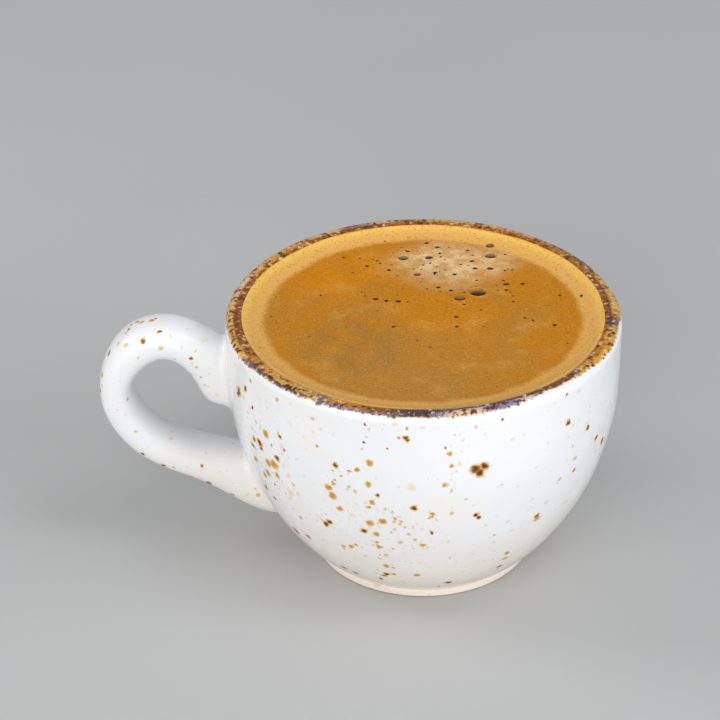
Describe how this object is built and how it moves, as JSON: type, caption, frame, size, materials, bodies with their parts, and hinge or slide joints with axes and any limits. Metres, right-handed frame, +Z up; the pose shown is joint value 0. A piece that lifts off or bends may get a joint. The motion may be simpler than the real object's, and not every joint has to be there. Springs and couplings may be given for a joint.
{
  "type": "espresso shot in a cup",
  "caption": "Espresso with a golden crema in a small round-bellied stoneware cup with an ear handle, speckled white glaze and a brown rim",
  "frame": {"origin": "middle of the foot, in the plane that the cup stands on", "axes": "+Z up out of the cup, -X towards the handle, +Y towards the back"},
  "size_m": [0.0876, 0.066, 0.045],
  "materials": {
    "glaze": "gloss",
    "coffee": "gloss",
    "crema": "satin"
  },
  "bodies": {
    "root": {"cup": "glaze", "espresso": "coffee", "crema": "crema"}
  },
  "joints": []
}
